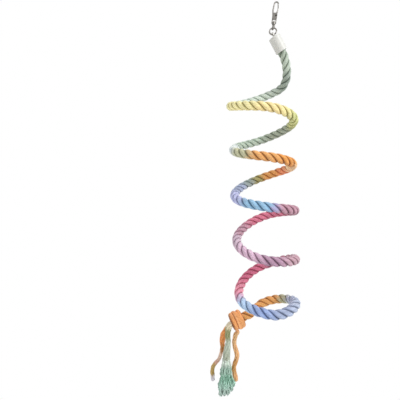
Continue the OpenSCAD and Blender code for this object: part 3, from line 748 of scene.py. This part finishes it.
class PerchFrayEnd(bpy.types.Operator):
    """Frays the middle strand's end into a tuft of loose, crimped yarns that hang in locks"""
    bl_idname = "perch.fray_end"
    bl_label = "Fray strand end"

    def execute(self, context):
        settings = context.scene.perch_tail
        rng = random.Random(settings.seed)
        routes = [even_line(self.yarn_route(i % settings.tassel_locks, settings, rng), settings.tassel_yarn_radius)
                  for i in range(settings.tassel_yarns)]
        bands = ((0, 0.16, "D8E4D8"), (0.30, 0.42, "A6C4B4"), (0.52, 0.66, "96C4AE"), (0.75, 0.84, "B4D8C8"),
                 (0.92, 1.0, "B6CCC2"))
        material = cotton("Loose cotton yarns", tail_dyes(FRAY_LENGTH, *bands), 2, 15 * MM, 0,
                          painted_yarn_shade=0.18, uneven=0.42)
        tassel = line_mesh("frayed_yarns", routes)
        grow(tassel, **ALONE, step=1.3 * MM, sides=6, round_end=0.6 * MM, wander=0.8 * MM, wander_size=8 * MM,
             seed=float(settings.seed), material=material)
        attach(tassel, "middle_strand")
        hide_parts("frayed_end")
        return {"FINISHED"}

    def yarn_route(self, lock, settings, rng):
        """One yarn's way down: it sways with its lock, and has a quicker crimp of its own"""
        reach = LOCK_SPREAD * math.sqrt((lock + 0.5) / settings.tassel_locks)
        angle = lock * GOLDEN_ANGLE
        right, back = reach * math.cos(angle), reach * math.sin(angle)
        lock_rng = random.Random(settings.seed + lock + 1)
        swing, slow, quick = lock_rng.uniform(0, 6.28), lock_rng.uniform(20, 30) * MM, rng.uniform(0, 6.28)
        wave, size = rng.uniform(5, 9) * MM, rng.uniform(0.25, 0.7) * MM
        own_right, own_back = rng.gauss(0, 0.10), rng.gauss(0, 0.16)
        trim = abs(rng.gauss(0, 1.5)) * MM
        # In millimetres: the pace of the points at the foot, and the lock's sway to the side and in depth
        pace, sway_side, sway_depth = 1.2, 1.3, 0.8
        # Shares: how far a yarn gathers towards its lock, where the sway is full, and the crimp at the top
        gather, full_from, top_crimp = 0.35, 0.6, 0.25
        points, steps = [], 48
        for step in range(steps + 1):
            share = step / steps * WIDEST_SHARE
            gathered = 1 - gather * share
            points.append(in_fray(share, right + own_right * gathered, back + own_back * gathered))
        # Below the widest place the yarns hang on down to the slanting foot
        last = points[-1]
        run = (last - points[-5]).normalized()
        foot = fray_from().z + foot_height((last - fray_from()).x) + trim
        extra = max(int((last.z - foot) / (pace * MM)), 0)
        points += [last + run * pace * MM * n for n in range(1, extra + 1)]
        crimped = []
        for p in points:
            drop = (points[0] - p).length
            grown = min(drop / (full_from * FRAY_LENGTH), 1)
            sway, crimp = 2 * math.pi * drop / slow, 2 * math.pi * drop / wave + quick
            curl = top_crimp + grown
            side = math.sin(sway + swing) * sway_side * MM * grown + math.sin(crimp) * size * curl
            depth = math.cos(sway + swing * 2) * sway_depth * MM * grown + math.cos(crimp) * size * curl
            crimped.append(p + Vector((side, depth, 0)))
        # Each yarn starts a little way inside the strand
        return [crimped[0] + Vector((0, 0, 3 * MM)), *crimped]


class PerchHangStrands(bpy.types.Operator):
    """Hangs the three loose strands under the knot"""
    bl_idname = "perch.hang_strands"
    bl_label = "Hang loose strands"

    def execute(self, context):
        settings = context.scene.perch_tail
        right_start = (KNOT_AT + KNOT_DIR * KNOT_LENGTH * RIGHT_ALONG_SHARE
                       - KNOT_UP * (KNOT_D / 2 + LINK_GAP))
        # Each strand: its start and route, shares of its diameter at even places along it, and its dyes
        rows = (
            ("left", on_face(LEFT_START_SHARES), KNOT_DIR, LEFT_D, LEFT_ROUTE,
             (0.9, 1.15, 1.28, 1.12, 0.80, 0.74, 0.76, 0.84, 0.88, 0.80), (
                (0, 0.34, "FAAA66"), (0.40, 0.45, "CC9058"), (0.51, 0.60, "FADCC8"), (0.65, 0.69, "F0C0AC"),
                (0.73, 0.89, "D0B06C"), (0.93, 1, "F2ECF4"))),
            ("middle", on_face(MIDDLE_START_SHARES), KNOT_DIR, MIDDLE_D, MIDDLE_ROUTE,
             (1.05, 1.08, 0.98, 0.92, 0.98, 1.15, 1.28, 1.25), (
                (0, 0.14, "F4E8CA"), (0.22, 0.40, "A2A678"), (0.50, 0.70, "C8D2C0"), (0.84, 1, "B6BEAA"))),
            ("right", right_start, -KNOT_UP, RIGHT_D, RIGHT_ROUTE,
             (0.7, 1.0, 0.92, 0.95, 1.05, 1.0, 0.95, 0.95, 1.05, 0.9), (
                (0, 0.25, "F6CA96"), (0.35, 0.55, "F0BC86"), (0.62, 0.8, "DEA666"), (0.86, 1, "EEB882"))))
        for side, start, first, diameter, route, width_shares, bands in rows:
            points = plumb(smooth(strand_route(start, first, diameter, route)))
            along = lengths(points)
            length = along[-1]
            even = [i / (len(width_shares) - 1) for i in range(len(width_shares))]
            widths = [between(even, width_shares, place / length, ease=True) for place in along]
            material = cotton(f"Loose cotton strand, {side}", tail_dyes(length, *bands), 3, 12 * MM, 0,
                              painted_yarn_shade=0.12)
            yarn_share = math.sin(math.pi / settings.yarns) * PRESSED
            offset = diameter / 2 / (1 + yarn_share)
            girth = offset * yarn_share
            strand = line_mesh(f"loose_strand_{side}", [(points, [girth * w for w in widths])])
            grow(strand, strands=settings.yarns, offset_share=offset / girth, lay=diameter * LOOSE_LAY_SHARE,
                 step=1.2 * MM, sides=12, wander=1.2 * MM, wander_size=9 * MM, round_end=1.2 * MM,
                 seed=float(settings.seed), material=material)
            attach(strand, f"{side}_strand")
            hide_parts(f"strand_{side}")
        return {"FINISHED"}


class PerchLayRope(bpy.types.Operator):
    """Lays the rope's three strands along the coil, and the steel wire inside them"""
    bl_idname = "perch.lay_rope"
    bl_label = "Lay rope"

    def execute(self, context):
        settings = context.scene.perch_rope
        into_knot = KNOT_AT - KNOT_DIR * WRAP_PITCH
        points, turn_at = rope_route(in_cap(ROPE_TOP), into_knot)
        along = lengths(points)
        first, last = min(turn_at), max(turn_at)

        def place(turns):
            """How far along the rope a turn lies. Before and after the coil the rope goes on at its last pace."""
            i = first + (turns - START_TURNS) / (END_TURNS - START_TURNS) * (last - first)
            low = min(max(int(i), first), last - 1)
            return max(along[low] + (along[low + 1] - along[low]) * (i - low), 0)

        dyes = tuple((place(start), place(end), colour) for start, end, colour in ROPE_DYES_AND_CAP_SHADOW)
        # The rope's strands take painted shade in the furrows between them and a painted highlight on their crests
        material = cotton("Dyed three-strand cotton rope", dyes, 14, 17.5 * MM, 0.55)
        rope = line_mesh("rope_strands", [even_line(points, settings.strand_radius)])
        grow(rope, strands=3, offset_share=settings.strand_offset / settings.strand_radius, lay=settings.lay,
             step=1.6 * MM, sides=22, flatness=0.06, wander=0.35 * MM, wander_size=14 * MM, round_end=2 * MM,
             material=material)
        wire = line_mesh("rope_wire", [even_line([in_cap(WIRE_TOP), *points], WIRE_R)])
        grow(wire, **ALONE, step=4 * MM, sides=10, round_end=1 * MM,
             material=bright_metal("Drawn steel core wire", linear("6F7072"), 0.4))
        for piece, node, slot in ((rope, "rope", "rope_cotton"), (wire, "core_wire", "core_steel")):
            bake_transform(piece)
            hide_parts(node)
        return {"FINISHED"}


class PerchTieKnot(bpy.types.Operator):
    """Wraps the orange knot round the rope's lower end"""
    bl_idname = "perch.tie_knot"
    bl_label = "Tie knot"

    def execute(self, context):
        wrap_r = (KNOT_D - WRAP_D) / 2
        # The strand's ends tuck in under the wraps
        steps, tuck_depth = 40, 2 * MM
        # In turns: a wrap's flat part, its step over to the next one, and both tucks
        flat, step_over, wrap_tuck, cross_tuck = 0.8, 0.2, 0.15, 0.1
        # How far out the crossing wrap lies, and how thick the core is, as shares
        cross_out, core_share = 0.1, 0.86

        def at(angle, radius, along):
            return (KNOT_AT + KNOT_DIR * along + (KNOT_BACK * math.cos(angle) + KNOT_UP * math.sin(angle)) * radius)

        # Each wrap lies flat, and the next one starts behind, where the strand steps over to it
        wraps, cross, last_wrap = [], [], KNOT_WRAPS - 1
        for i in range(KNOT_WRAPS * steps + 1):
            turns = i / steps
            wrap = min(int(turns), last_wrap)
            over = 0 if wrap == last_wrap else eased(max(turns - wrap - flat, 0) / step_over)
            tuck = max(0, 1 - min(turns, KNOT_WRAPS - turns) / wrap_tuck)
            along = (wrap - last_wrap / 2 + over) * WRAP_PITCH
            wraps.append(at(2 * math.pi * turns, wrap_r - tuck * tuck_depth, along))
        for i in range(steps + 1):
            turns = i / steps
            angle = 2 * math.pi * turns
            tuck = max(0, 1 - min(turns, 1 - turns) / cross_tuck)
            cross.append(at(angle, wrap_r + WRAP_D * cross_out - tuck * tuck_depth,
                            math.cos(angle) * wrap_r * math.tan(CROSS_TILT)))
        core = [at(0, 0, s * KNOT_LENGTH / 2) for s in (-0.9, -0.5, 0, 0.5, 0.9)]
        dyes = tail_dyes(lengths(wraps)[-1], (0, 0.3, "F4AC6C"), (0.4, 0.7, "FAB87E"), (0.8, 1, "F0A868"))
        # Painted shade between the wraps, by distance from the knot's axis, and a painted highlight on their
        # outsides
        material = cotton("Dyed cotton knot", dyes, 12, 16 * MM, 0.4, wound=(
            PLUMB @ KNOT_AT, PLUMB.to_3x3() @ KNOT_DIR, KNOT_D / 2 - 1.9 * MM, KNOT_D / 2 - 0.3 * MM))
        knot = line_mesh("knot_wraps", [
            even_line(wraps, WRAP_D / 2), even_line(cross, WRAP_D / 2), even_line(core, wrap_r * core_share)])
        grow(knot, **ALONE, step=1.2 * MM, sides=28, round_end=3 * MM, wander=0.4 * MM, wander_size=8 * MM,
             material=material)
        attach(knot, "tail")
        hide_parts("end_knot")
        return {"FINISHED"}


class PerchFinishHardware(bpy.types.Operator):
    """Gives the clasp, swivel, ring, eyes and cap their metal and plastic"""
    bl_idname = "perch.finish_hardware"
    bl_label = "Finish hardware"

    def execute(self, context):
        settings = context.scene.perch_finish
        nickel = bright_metal("Nickel plate", settings.nickel, 0.24)
        for node in ("clasp_body", "clasp_gate", "swivel_eye", "connector_ring"):
            paint_node(node, nickel)
        # The cap's eye gets a lighter nickel than the clasp and ring
        paint_node("cap_eye", bright_metal("Fresh nickel plate", settings.cap_eye, 0.24))
        # The rivet is near black, much darker than the nickel round it
        paint_node("gate_rivet", bright_metal("Burnished rivet steel", linear("3A3836"), 0.35))
        paint_node("core_ferrule", bright_metal("Pressed steel ferrule", linear("7C7D80"), 0.35))
        paint_node("end_cap", moulded_plastic("Moulded white ABS", settings.cap))
        return {"FINISHED"}


class PerchWindSpring(bpy.types.Operator):
    """Winds the gate's little spring, which its heel presses down as the gate opens"""
    bl_idname = "perch.wind_spring"
    bl_label = "Wind gate spring"

    def execute(self, context):
        turned = PLUMB @ Matrix.Rotation(CLASP_LEAN, 4, "Y")
        radius, steps = (SPRING_D - SPRING_WIRE) / 2, 24
        pitch = (SPRING_ROOM - SPRING_WIRE) / SPRING_TURNS
        points = []
        for i in range(SPRING_TURNS * steps + 1):
            angle = 2 * math.pi * i / steps
            points.append(turned @ (SPRING_FOOT + Vector((
                radius * math.cos(angle), radius * math.sin(angle), SPRING_WIRE / 2 + pitch * i / steps))))
        spring = line_mesh("spring_coil", [(points, [SPRING_WIRE / 2] * len(points))])
        grow(spring, **ALONE, step=0.15 * MM, sides=8, round_end=0.05 * MM,
             material=bright_metal("Drawn spring steel", linear("7C7D80"), 0.35))
        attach(spring, "clasp")
        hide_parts("gate_spring")
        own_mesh(spring)
        return {"FINISHED"}


class PerchBuildStage(bpy.types.Operator):
    """Builds the pale floor and backdrop, the soft lamps and the even surrounding light"""
    bl_idname = "perch.build_stage"
    bl_label = "Build stage"

    def execute(self, context):
        settings = context.scene.perch_stage
        self.floor(settings)
        centre = Vector((0, 0, -0.3))
        # Each lamp: its place from the perch's middle, its size and its power
        lamps = (("Key light", Vector((1.15, -0.8, 0.7)), 0.7, settings.key_power),
                 ("Fill light", Vector((-1.2, -0.8, 0.1)), 1.2, settings.fill_power),
                 ("Back light", Vector((0.2, 1.2, 0.5)), 0.9, settings.fill_power))
        for name, place, size, power in lamps:
            data = bpy.data.lights.new(name, "AREA")
            data.size, data.energy = size, power
            lamp = bpy.data.objects.new(name, data)
            lamp.location = centre + place
            lamp.rotation_euler = (-place).to_track_quat("-Z", "Y").to_euler()
            context.scene.collection.objects.link(lamp)
        world = bpy.data.worlds.new("Even light")
        world.use_nodes = True
        tree = world.node_tree
        white = (1, 1, 1, 1)
        near = tree.nodes["Background"]
        feed(tree, near, {"Color": white, "Strength": settings.sky_strength})
        seen = add(tree, "ShaderNodeBackground", {"Color": white, "Strength": 1.0})
        self.white_behind(tree, near.outputs[0], seen.outputs[0], tree.nodes["World Output"], None)
        context.scene.world = world
        context.scene.view_settings.view_transform = "Standard"
        return {"FINISHED"}

    def white_behind(self, tree, near, white, output, far_share):
        """The camera, and glossy and clear surfaces, see white where the stage is far from the perch"""
        rays = add(tree, "ShaderNodeLightPath").outputs
        seen = maths(tree, "MAXIMUM", rays["Is Camera Ray"], rays["Is Glossy Ray"])
        seen = maths(tree, "MAXIMUM", seen, rays["Is Transmission Ray"])
        if far_share:
            seen = maths(tree, "MULTIPLY", seen, far_share)
        mixed = add(tree, "ShaderNodeMixShader", {0: seen, 1: near, 2: white})
        tree.links.new(mixed.outputs[0], output.inputs["Surface"])

    def floor(self, settings):
        """One sheet: a floor that curves up into a wall far behind the perch"""
        drop, half, curve, steps = settings.floor_drop, 4.0, 1.2, 24
        curve_from, wall_top = 2.5, 5.0
        profile = [(-half, 0.0), (curve_from, 0.0)]
        profile += [(curve_from + curve * math.sin(a), curve * (1 - math.cos(a)))
                    for a in (math.pi / 2 * i / steps for i in range(1, steps + 1))]
        profile.append((curve_from + curve, wall_top))
        mesh = bpy.data.meshes.new("Studio sheet")
        work = bmesh.new()
        rows = [[work.verts.new((x, y, z - drop)) for y, z in profile] for x in (-half, half)]
        for i in range(len(profile) - 1):
            work.faces.new((rows[0][i], rows[1][i], rows[1][i + 1], rows[0][i + 1])).smooth = True
        work.to_mesh(mesh)
        work.free()
        sheet = bpy.data.objects.new("Studio sheet", mesh)
        bpy.context.scene.collection.objects.link(sheet)
        material, tree, shader = fresh_material("Matt white studio paper")
        feed(tree, shader, {"Base Color": linear("F4F4F3"), "Roughness": 0.9})
        at = add(tree, "ShaderNodeTexCoord").outputs["Object"]
        flat = vector_maths(tree, "MULTIPLY", at, (1, 1, 0))
        away = add(tree, "ShaderNodeVectorMath", {0: flat}, operation="LENGTH").outputs["Value"]
        white_from, all_white = 0.15, 0.6
        far = ranged(tree, away, 0, 1, white_from, all_white, interpolation_type="SMOOTHSTEP")
        white = add(tree, "ShaderNodeEmission", {"Strength": 1.0})
        self.white_behind(tree, shader.outputs[0], white.outputs[0], tree.nodes["Material Output"], far)
        mesh.materials.append(material)


OPERATORS = (PerchSetCamera, PerchFrayEnd, PerchHangStrands, PerchLayRope, PerchTieKnot, PerchFinishHardware,
             PerchWindSpring, PerchBuildStage)
SETTINGS = {"perch_rope": PerchRopeSettings, "perch_tail": PerchTailSettings, "perch_finish": PerchFinishSettings,
            "perch_stage": PerchStageSettings}


class PerchPanel(bpy.types.Panel):
    """The perch's settings and the steps that build it"""
    bl_idname = "VIEW3D_PT_perch"
    bl_label = "Spiral rope perch"
    bl_space_type = "VIEW_3D"
    bl_region_type = "UI"
    bl_category = "Perch"

    def draw(self, context):
        for name, group in SETTINGS.items():
            box = self.layout.box()
            for prop in group.__annotations__:
                box.prop(getattr(context.scene, name), prop)
        for operator in OPERATORS:
            self.layout.operator(operator.bl_idname)


def register():
    for item in (*SETTINGS.values(), *OPERATORS, PerchPanel):
        bpy.utils.register_class(item)
    for name, group in SETTINGS.items():
        setattr(bpy.types.Scene, name, bpy.props.PointerProperty(type=group))


def unregister():
    for name in SETTINGS:
        delattr(bpy.types.Scene, name)
    for item in reversed((*SETTINGS.values(), *OPERATORS, PerchPanel)):
        bpy.utils.unregister_class(item)


def main():
    register()
    strand_tree()
    for operator in OPERATORS:
        group, name = operator.bl_idname.split(".")
        getattr(getattr(bpy.ops, group), name)()


if __name__ == "__main__":
    main()
